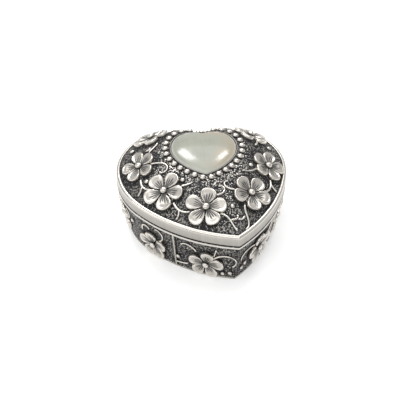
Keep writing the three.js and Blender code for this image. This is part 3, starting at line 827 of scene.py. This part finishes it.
# Profile of the base: inset, level and tone; the tone is dark in the crease under the rim's overhang, and 0
# on the rim's top by the seam as painted shade of the gap between lid and base
FOOT_PROFILE = [
    (FOOT_INSET - FOOT_LIP + 0.2, 0.0, 0.3), (FOOT_INSET - FOOT_LIP, 0.2, 0.6),
    (FOOT_INSET - FOOT_LIP, FOOT_LIP_HEIGHT - 0.3, 0.7),
    (FOOT_INSET - FOOT_LIP + 0.2, FOOT_LIP_HEIGHT - 0.05, 0.4),
]
RIM_PROFILE = [
    (RIM_OVERHANG, WALL_TOP - 0.25, 0.0), (0.50, WALL_TOP - 0.10, 0.2), (0.12, WALL_TOP - 0.03, 0.6),
    (0.0, WALL_TOP + 0.15, 0.8), (0.0, SEAM - 0.60, 0.76), (0.10, SEAM - 0.46, 0.4), (0.24, SEAM - 0.28, 0.0),
    (0.55, SEAM, 0.0), (LIP_OUTER, SEAM, 0.1), (LIP_OUTER, BASE_HIGH[2] - EDGE_BEVEL, 0.5),
    (LIP_OUTER + EDGE_BEVEL, BASE_HIGH[2], 0.6), (LIP_INNER, BASE_HIGH[2], 0.6), (LIP_INNER, WALL_TOP, 0.5),
]


def profile_rings(profile):
    rings = [at_height(box_outline(inset), level) for inset, level, _ in profile]
    tones = [np.full(len(RIM_LINE), tone) for *_, tone in profile]
    return rings, tones


def wall_rings(sizes, flowers, lines, dots):
    """The stippled wall with its upright ribs, each with a groove along one side."""
    distance = (TIP_DISTANCE - RIM_DISTANCE[:-1] + RIM_LENGTH / 2) % RIM_LENGTH - RIM_LENGTH / 2
    distance, z = np.meshgrid(distance, np.linspace(FOOT_LIP_HEIGHT, WALL_TOP - 0.35, WALL_ROWS))
    grain = grains(distance, z, sizes.grain_pitch, WALL_GRAIN_SEED)
    fade = smooth_step(z, FOOT_LIP_HEIGHT, FOOT_LIP_HEIGHT + 0.5)
    fade = fade * (1 - smooth_step(z, WALL_TOP - 0.9, WALL_TOP - 0.4))
    height = fade * (grain - GROUND_LEVEL) * sizes.grain_height
    shadow = relief_shadow(distance, z, flowers, lines, dots, sizes.flower_radius)
    wear = ground_tone_with_shade(WALL_TONE_AND_SHADE, grain, shadow)
    groove_place, groove_half_width, groove_depth = RIB_GROOVE
    for share in WALL_RIBS:
        away = distance - share * RIM_LENGTH
        rib = np.exp(-(away / RIB_HALF_WIDTH) ** 4)
        groove = np.exp(-((away - groove_place) / groove_half_width) ** 4)
        height = height * (1 - rib) * (1 - groove) + RIB_STAND * rib - groove_depth * groove
        wear = wear * (1 - rib) * (1 - groove) + RIB_WEAR * rib
    return [*on_wall(distance, z, height)], [*wear]


def base_body(sizes, ground, flowers, lines, dots):
    foot, foot_tones = profile_rings(FOOT_PROFILE)
    wall, wall_tones = wall_rings(sizes, flowers, lines, dots)
    inner_foot = float(wall_inset(BASE_FLOOR)) + BASE_WALL
    inside = [
        (inner_foot, BASE_FLOOR + INNER_BEVEL, INSIDE_WEAR),
        (inner_foot + INNER_BEVEL, BASE_FLOOR, INSIDE_WEAR),
    ]
    rim, rim_tones = profile_rings(RIM_PROFILE + inside)
    rings = foot + wall + rim
    tones = foot_tones + wall_tones + rim_tones
    shell = Shape()
    close_shell(shell, rings[::-1], tones[::-1])
    shell.build("base_body", "box_base", ground)


def build_base(context):
    sizes = context.scene.heart_box_relief
    look = context.scene.heart_box_finish
    pewter = pewter_material(look, "pewter_relief", grainy=False)
    ground = pewter_material(look, "pewter_ground", grainy=True)
    flowers = [(wall_place(share, rise), turn, size) for share, rise, turn, size in WALL_FLOWERS]
    dots = [wall_place(share, rise) for share, rise in WALL_DOTS]

    vines = Shape()
    lines = [
        tendril(vines, on_wall, wall_place(share, rise), sizes, *course)
        for share, rise, *course in WALL_TENDRILS
    ]
    for spot in dots:
        dome_bead(vines, wall_patch(spot), sizes.dot_bead / 2)
    vines.build("base_tendrils", "box_base", pewter)

    blossoms = Shape()
    for number, (spot, turn, size) in enumerate(flowers):
        radius = size * sizes.flower_radius
        flower(blossoms, wall_patch(spot), sizes, radius, turn, WALL_FLOWER_SEED + number)
    blossoms.build("base_flowers", "box_base", pewter)

    base_body(sizes, ground, [spot for spot, *_ in flowers], lines, dots)


# Stone

# The crown's highest point lies a little nearer the tip, and the crown is fuller over the notch
CROWN_TOP = np.array([0.0, -1.0])
CROWN_SLOPES = np.radians(np.linspace(4, 87, 34))
CROWN_ROUNDNESS = 1.4
NOTCH_SPREAD = 26
NOTCH_FULLNESS = 0.9
NOTCH_ROUNDNESS = 0.6
# Painted sheen: the stone's edge is made paler, standing in for light on its rounded rim, by the sine of the
# slope
EDGE_SHEEN_SLOPES = (0.05, 0.45)


def build_stone(context):
    outline = stone_outline(0)
    bottom = STONE_LOW[2]
    girdle = bottom + STONE_GIRDLE
    rise = min(STONE_HIGH[2], bottom + STONE_HEIGHT) - girdle
    rings = [at_height(outline, bottom), at_height(outline, girdle - STONE_GIRDLE_BAND)]
    tones = [0.0, 1.0]
    middle = STONE_MIDDLE + CROWN_TOP
    offset = outline - middle
    bearing = np.degrees(np.arctan2(offset[:, 1], offset[:, 0]))
    notch = bell(bearing, 90, NOTCH_SPREAD)
    for slope in CROWN_SLOPES:
        shrink = 1 - (1 - math.cos(slope)) ** (1 + NOTCH_FULLNESS * notch)
        level = girdle + rise * math.sin(slope) ** (CROWN_ROUNDNESS - NOTCH_ROUNDNESS * notch)
        rings.append(at_height(middle + offset * shrink[:, None], level))
        # Paler towards the edge: painted sheen on the stone's rounded rim
        tones.append(1 - float(smooth_step(math.sin(slope), *EDGE_SHEEN_SLOPES)))
    stone = Shape()
    close_shell(stone, rings, [np.full(len(outline), tone) for tone in tones], flip=True)
    stone.build("heart_cabochon", "heart_stone", stone_material(context.scene.heart_box_finish))


# Materials

# Noise patterns: cells a metre along X, Y and Z, and octaves of detail
PATINA_CLOUDS = ((220, 220, 220), 4.0)
PATINA_STREAKS = ((420, 420, 18), 2.0)
PINPOINT_CLUSTERS = ((170, 170, 170), 2.0)
METAL_GRIT = ((1500, 1500, 2600), 4.0)
STONE_FIBRES = ((800, 70, 300), 3.0)
STONE_CLOUDS = ((70, 90, 60), 2.0)

# Pewter: how far each pattern shifts the tone, which goes from dark patina to bright metal
CLOUD_GAIN = 0.06
STREAK_GAIN = 0.08
TONE_STOPS = dict(patina=0.05, middle=0.45, metal=0.85)
MIDDLE_DIVISOR = 2.6
PATINA_ROUGHNESS = 0.62
MIDDLE_ROUGHNESS = 0.42
GRIT_STRENGTH = 0.25
GRIT_DEPTH = 0.08 / METRE
# Pinpoints: cells a metre, radius as a share of a cell, gain, and how many show by wear and by cluster
PINPOINT_CELLS = (1350, 1350, 1350)
PINPOINT_RADIUS = 0.4
PINPOINT_GAIN = 8.5
PINPOINTS_BY_WEAR = [(0.0, 0.0), (0.05, 0.30), (0.42, 0.30), (0.5, 0.0)]
PINPOINTS_BY_CLUSTER = [(0.42, 0.35), (0.62, 1.0)]

# Stone: share of the fibres in its pattern, and how much warmer it gets a metre towards +X
FIBRE_SHARE = 0.25
WARM_SIDE = 13.0
STONE_STOPS = dict(cool=0.30, pale=0.5, warm=0.72)
PALER = 1.15
# Painted sheen on the stone's edge: its share and its pale colour
EDGE_SHEEN_SHARE = 0.6
EDGE_SHEEN_COLOR = (0.68, 0.7, 0.64, 1)


class Finish:
    """A material under way, whose nodes feed one principled shader."""

    def __init__(self, name):
        self.material = bpy.data.materials.new(name)
        self.material.use_nodes = True
        self.nodes = self.material.node_tree.nodes
        self.links = self.material.node_tree.links
        self.nodes.clear()
        output = self.nodes.new("ShaderNodeOutputMaterial")
        self.shader = self.nodes.new("ShaderNodeBsdfPrincipled")
        self.links.new(self.shader.outputs["BSDF"], output.inputs["Surface"])

    def settle(self, **values):
        """Sets constants on the shader, with an underscore for each space in a socket's name."""
        for name, value in values.items():
            self.shader.inputs[name.replace("_", " ")].default_value = value

    def feed(self, socket, source):
        self.links.new(source, self.shader.inputs[socket])

    def wear(self):
        attribute = self.nodes.new("ShaderNodeAttribute")
        attribute.attribute_name = "wear"
        return attribute.outputs["Fac"]

    def place(self):
        return self.nodes.new("ShaderNodeTexCoord").outputs["Object"]

    def cells(self, scale):
        """Object coordinates, counted in the given number of cells a metre along each axis."""
        mapping = self.nodes.new("ShaderNodeMapping")
        mapping.inputs["Scale"].default_value = scale
        self.links.new(self.place(), mapping.inputs["Vector"])
        return mapping.outputs["Vector"]

    def noise(self, scale, detail):
        texture = self.nodes.new("ShaderNodeTexNoise")
        texture.inputs["Scale"].default_value = 1.0
        texture.inputs["Detail"].default_value = detail
        self.links.new(self.cells(scale), texture.inputs["Vector"])
        return texture.outputs["Fac"]

    def ramp(self, source, stops):
        """Colours or grey values at places from 0 to 1."""
        node = self.nodes.new("ShaderNodeValToRGB")
        while len(node.color_ramp.elements) < len(stops):
            node.color_ramp.elements.new(0.5)
        for element, (place, value) in zip(node.color_ramp.elements, stops):
            element.position = place
            element.color = (*value, 1) if isinstance(value, tuple) else (value, value, value, 1)
        self.links.new(source, node.inputs["Fac"])
        return node.outputs["Color"]

    def math(self, operation, first, second):
        node = self.nodes.new("ShaderNodeMath")
        node.operation = operation
        for socket, value in zip(node.inputs, (first, second)):
            if isinstance(value, (int, float)):
                socket.default_value = value
            else:
                self.links.new(value, socket)
        return node.outputs["Value"]

    def add(self, first, second):
        return self.math("ADD", first, second)

    def times(self, first, second):
        return self.math("MULTIPLY", first, second)

    def swing(self, pattern, gain):
        """A pattern that lightens and darkens by as much."""
        return self.times(self.math("SUBTRACT", pattern, 0.5), gain)


def pinpoints(finish, wear):
    """Bright pinpoints in clusters, where the metal is neither bare of patina nor in a deep hollow."""
    spots = finish.nodes.new("ShaderNodeTexVoronoi")
    spots.inputs["Scale"].default_value = 1.0
    finish.links.new(finish.cells(PINPOINT_CELLS), spots.inputs["Vector"])
    spot = finish.math("SUBTRACT", PINPOINT_RADIUS, spots.outputs["Distance"])
    by_wear = finish.ramp(wear, PINPOINTS_BY_WEAR)
    by_cluster = finish.ramp(finish.noise(*PINPOINT_CLUSTERS), PINPOINTS_BY_CLUSTER)
    return finish.times(finish.times(spot, finish.times(by_wear, by_cluster)), PINPOINT_GAIN)


def pewter_material(look, name, grainy):
    """Antiqued pewter: dark patina where the tone is low, bright metal where it is high; where the tone holds
    painted shade, the dark colour is painted shade. The grainy kind also has bright pinpoints in its patina."""
    if name in bpy.data.materials:
        return bpy.data.materials[name]
    finish = Finish(name)
    wear = finish.wear()
    clouds = finish.swing(finish.noise(*PATINA_CLOUDS), CLOUD_GAIN)
    streaks = finish.swing(finish.noise(*PATINA_STREAKS), STREAK_GAIN)
    tone = finish.add(wear, finish.add(clouds, streaks))
    if grainy:
        tone = finish.add(tone, pinpoints(finish, wear))
    patina = tuple(look.patina_color)
    metal = tuple(look.pewter_color)
    middle = tuple((a + b) / MIDDLE_DIVISOR for a, b in zip(patina, metal))
    finish.feed("Base Color", finish.ramp(tone, [
        (TONE_STOPS["patina"], patina), (TONE_STOPS["middle"], middle), (TONE_STOPS["metal"], metal),
    ]))
    finish.feed("Roughness", finish.ramp(tone, [
        (0.0, PATINA_ROUGHNESS), (0.5, MIDDLE_ROUGHNESS), (0.9, look.pewter_roughness),
    ]))
    finish.settle(Metallic=1.0)
    bump = finish.nodes.new("ShaderNodeBump")
    bump.inputs["Strength"].default_value = GRIT_STRENGTH
    bump.inputs["Distance"].default_value = GRIT_DEPTH
    finish.links.new(finish.noise(*METAL_GRIT), bump.inputs["Height"])
    finish.feed("Normal", bump.outputs["Normal"])
    return finish.material


def stone_material(look):
    """Milky, slightly see-into stone with faint upright fibres, a warm side and a painted sheen that makes
    its edge paler.
    """
    finish = Finish("stone_polished")
    fibres = finish.times(finish.noise(*STONE_FIBRES), FIBRE_SHARE)
    clouds = finish.times(finish.noise(*STONE_CLOUDS), 1 - FIBRE_SHARE)
    place = finish.nodes.new("ShaderNodeSeparateXYZ")
    finish.links.new(finish.place(), place.inputs["Vector"])
    tone = finish.add(finish.add(fibres, clouds), finish.times(place.outputs["X"], WARM_SIDE))
    cool = tuple(look.stone_color)
    warm = tuple(look.stone_warm_color)
    pale = tuple(min(1.0, value * PALER) for value in cool)
    body = finish.ramp(tone, [
        (STONE_STOPS["cool"], cool), (STONE_STOPS["pale"], pale), (STONE_STOPS["warm"], warm),
    ])
    mix = finish.nodes.new("ShaderNodeMix")
    mix.data_type = "RGBA"
    # Mixes in the pale edge colour: painted sheen on the stone's rim
    finish.links.new(finish.times(finish.wear(), EDGE_SHEEN_SHARE), mix.inputs["Factor"])
    finish.links.new(body, mix.inputs["A"])
    mix.inputs["B"].default_value = EDGE_SHEEN_COLOR
    finish.feed("Base Color", mix.outputs["Result"])
    finish.settle(
        Roughness=0.2, Subsurface_Weight=0.25, Subsurface_Radius=(0.002, 0.0022, 0.002), Subsurface_Scale=1.0,
        Coat_Weight=0.35, Coat_Roughness=0.08,
    )
    return finish.material


# Stage

# The camera aims at a place in millimetres from the box's widest line at the level of the seam
CAMERA_AIM = (-1.18, -7.81, -8.72)
CAMERA_DISTANCE = 400
CAMERA_ELEVATION = 42
CAMERA_AZIMUTH = 4
CAMERA_LENS = 75.95
# Half the floor's side, what the lamps aim at, and each lamp's offset from there and size, in metres
FLOOR_HALF = 6.0
LAMP_AIM = (0.0, 0.0, 0.035)
LAMPS = {
    "key": ((-0.185, 0.355, 0.475), (0.14, 0.19)),
    "fill": ((0.25, 0.315, 0.458), (0.09, 0.13)),
    "sky": ((0.0, 0.25, 0.60), (0.70, 0.60)),
    "front": ((-0.16, -0.38, 0.52), (0.9, 0.38)),
    "side": ((-0.60, -0.09, 0.28), (0.40, 0.26)),
}


def place_camera(scene):
    aim = (np.array(CAMERA_AIM) + [0.0, BOX_MIDDLE[1], SEAM]) / METRE
    elevation = math.radians(CAMERA_ELEVATION)
    azimuth = math.radians(CAMERA_AZIMUTH)
    level = math.cos(elevation)
    forward = np.array([math.sin(azimuth) * level, math.cos(azimuth) * level, -math.sin(elevation)])
    lens = bpy.data.cameras.new("camera")
    lens.lens = CAMERA_LENS
    camera = bpy.data.objects.new("camera", lens)
    camera.location = aim - forward * CAMERA_DISTANCE / METRE
    camera.rotation_euler = (math.pi / 2 - elevation, 0, -azimuth)
    scene.collection.objects.link(camera)
    scene.camera = camera


def lay_floor(scene, glow):
    corners = [(x * FLOOR_HALF, y * FLOOR_HALF, 0) for x, y in ((-1, -1), (1, -1), (1, 1), (-1, 1))]
    mesh = bpy.data.meshes.new("floor")
    mesh.from_pydata(corners, [], [(0, 1, 2, 3)])
    finish = Finish("floor_white")
    finish.settle(
        Base_Color=(0.85, 0.85, 0.85, 1), Roughness=0.9, Specular_IOR_Level=0.1,
        Emission_Color=(1, 1, 1, 1), Emission_Strength=glow,
    )
    mesh.materials.append(finish.material)
    floor = bpy.data.objects.new("floor", mesh)
    scene.collection.objects.link(floor)


def hang_lamp(scene, name, power):
    offset, size = LAMPS[name]
    lamp = bpy.data.lights.new(name, "AREA")
    lamp.shape = "RECTANGLE"
    lamp.size, lamp.size_y = size
    lamp.energy = power
    holder = bpy.data.objects.new(name, lamp)
    holder.location = np.array(LAMP_AIM) + np.array(offset)
    ahead = -np.array(offset)
    tilt = math.acos(-ahead[2] / np.linalg.norm(ahead))
    holder.rotation_euler = (tilt, 0, math.atan2(ahead[1], ahead[0]) - math.pi / 2)
    scene.collection.objects.link(holder)


def build_stage(context):
    scene = context.scene
    light = scene.heart_box_light
    scene.view_settings.view_transform = "Standard"
    place_camera(scene)
    lay_floor(scene, light.table)
    world = bpy.data.worlds.new("studio")
    world.use_nodes = True
    background = world.node_tree.nodes["Background"]
    background.inputs["Color"].default_value = (1, 1, 1, 1)
    background.inputs["Strength"].default_value = light.surround
    scene.world = world
    for name in LAMPS:
        hang_lamp(scene, name, getattr(light, name + "_power"))


# Settings

class HeartBoxRelief(bpy.types.PropertyGroup):
    flower_radius: bpy.props.FloatProperty(
        name="Flower radius", description="From a flower's heart to its petals' tips, in mm", default=9.4)
    petal_height: bpy.props.FloatProperty(
        name="Petal height", description="Height of a petal off the ground, in mm", default=1.45)
    vein_depth: bpy.props.FloatProperty(
        name="Vein depth", description="Depth of the veins of a petal, in mm", default=0.2)
    flower_bead: bpy.props.FloatProperty(
        name="Flower bead", description="Diameter of the bead in a flower, in mm", default=3.2)
    ring_bead: bpy.props.FloatProperty(
        name="Row bead", description="Diameter of a bead round the stone, in mm", default=2.75)
    bead_pitch: bpy.props.FloatProperty(
        name="Bead pitch", description="From one bead of the row to the next, in mm", default=4.0)
    bead_gap: bpy.props.FloatProperty(
        name="Bead gap", description="From the stone's edge to the beads' middles, in mm", default=2.7)
    dot_bead: bpy.props.FloatProperty(
        name="Single bead", description="Diameter of a bead among the flowers, in mm", default=2.1)
    tendril_width: bpy.props.FloatProperty(
        name="Tendril width", description="Width of a tendril at its start, in mm", default=1.15)
    tendril_height: bpy.props.FloatProperty(
        name="Tendril height", description="Height of a tendril off the ground, in mm", default=0.8)
    grain_pitch: bpy.props.FloatProperty(
        name="Grain pitch", description="From one grain to the next, in mm", default=0.8)
    grain_height: bpy.props.FloatProperty(
        name="Grain height", description="Height of a grain of the ground, in mm", default=0.12)


class HeartBoxFinish(bpy.types.PropertyGroup):
    pewter_color: bpy.props.FloatVectorProperty(
        name="Pewter", description="Colour of polished pewter",
        subtype="COLOR", size=3, default=(0.66, 0.63, 0.58))
    patina_color: bpy.props.FloatVectorProperty(
        name="Patina", description="Colour of the dark patina",
        subtype="COLOR", size=3, default=(0.032, 0.032, 0.034))
    pewter_roughness: bpy.props.FloatProperty(
        name="Pewter roughness", description="Roughness of polished pewter", subtype="FACTOR", default=0.26)
    stone_color: bpy.props.FloatVectorProperty(
        name="Stone", description="Main colour of the stone",
        subtype="COLOR", size=3, default=(0.288, 0.294, 0.248))
    stone_warm_color: bpy.props.FloatVectorProperty(
        name="Stone, warm", description="Colour of the warm side of the stone",
        subtype="COLOR", size=3, default=(0.38, 0.33, 0.25))


class HeartBoxLight(bpy.types.PropertyGroup):
    surround: bpy.props.FloatProperty(
        name="Surround", description="Strength of the even light all round", default=0.62)
    table: bpy.props.FloatProperty(
        name="Table", description="Strength of the even light from the table's white top", default=0.32)
    key_power: bpy.props.FloatProperty(
        name="Key light", description="Power of the light from the left", unit="POWER", default=0.85)
    fill_power: bpy.props.FloatProperty(
        name="Fill light", description="Power of the light from the right", unit="POWER", default=0.42)
    sky_power: bpy.props.FloatProperty(
        name="Top light", description="Power of the broad soft light from above", unit="POWER", default=2.0)
    front_power: bpy.props.FloatProperty(
        name="Front light", description="Power of the soft light from the front", unit="POWER", default=1.3)
    side_power: bpy.props.FloatProperty(
        name="Side light", description="Power of the low soft light from the left", unit="POWER", default=0.5)


# Operators

class HEARTBOX_OT_base(bpy.types.Operator):
    """Build the box body with its relief"""
    bl_idname = "heartbox.base"
    bl_label = "Base"

    def execute(self, context):
        build_base(context)
        return {"FINISHED"}


class HEARTBOX_OT_lid(bpy.types.Operator):
    """Build the lid with its flowers, tendrils, beads and bezel"""
    bl_idname = "heartbox.lid"
    bl_label = "Lid"

    def execute(self, context):
        build_lid(context)
        return {"FINISHED"}


class HEARTBOX_OT_stone(bpy.types.Operator):
    """Build the polished heart stone"""
    bl_idname = "heartbox.stone"
    bl_label = "Stone"

    def execute(self, context):
        build_stone(context)
        return {"FINISHED"}


class HEARTBOX_OT_stage(bpy.types.Operator):
    """Build the camera, the floor and the lights"""
    bl_idname = "heartbox.stage"
    bl_label = "Stage"

    def execute(self, context):
        build_stage(context)
        return {"FINISHED"}


class HEARTBOX_PT_panel(bpy.types.Panel):
    """Lists the settings and the operators of the box"""
    bl_idname = "HEARTBOX_PT_panel"
    bl_label = "Heart box"
    bl_space_type = "VIEW_3D"
    bl_region_type = "UI"
    bl_category = "Heart box"

    def draw(self, context):
        for group in (getattr(context.scene, name) for name in GROUPS):
            box = self.layout.box()
            for name in group.__annotations__:
                box.prop(group, name)
        for operator in OPERATORS:
            self.layout.operator(operator.bl_idname)


GROUPS = {
    "heart_box_relief": HeartBoxRelief,
    "heart_box_finish": HeartBoxFinish,
    "heart_box_light": HeartBoxLight,
}
OPERATORS = (HEARTBOX_OT_stage, HEARTBOX_OT_base, HEARTBOX_OT_lid, HEARTBOX_OT_stone)


def register():
    for name, group in GROUPS.items():
        bpy.utils.register_class(group)
        setattr(bpy.types.Scene, name, bpy.props.PointerProperty(type=group))
    for cls in (*OPERATORS, HEARTBOX_PT_panel):
        bpy.utils.register_class(cls)


def unregister():
    for cls in (HEARTBOX_PT_panel, *OPERATORS[::-1]):
        bpy.utils.unregister_class(cls)
    for name, group in GROUPS.items():
        delattr(bpy.types.Scene, name)
        bpy.utils.unregister_class(group)


def main():
    register()
    bpy.ops.heartbox.stage()
    bpy.ops.heartbox.base()
    bpy.ops.heartbox.lid()
    bpy.ops.heartbox.stone()


if __name__ == "__main__":
    main()
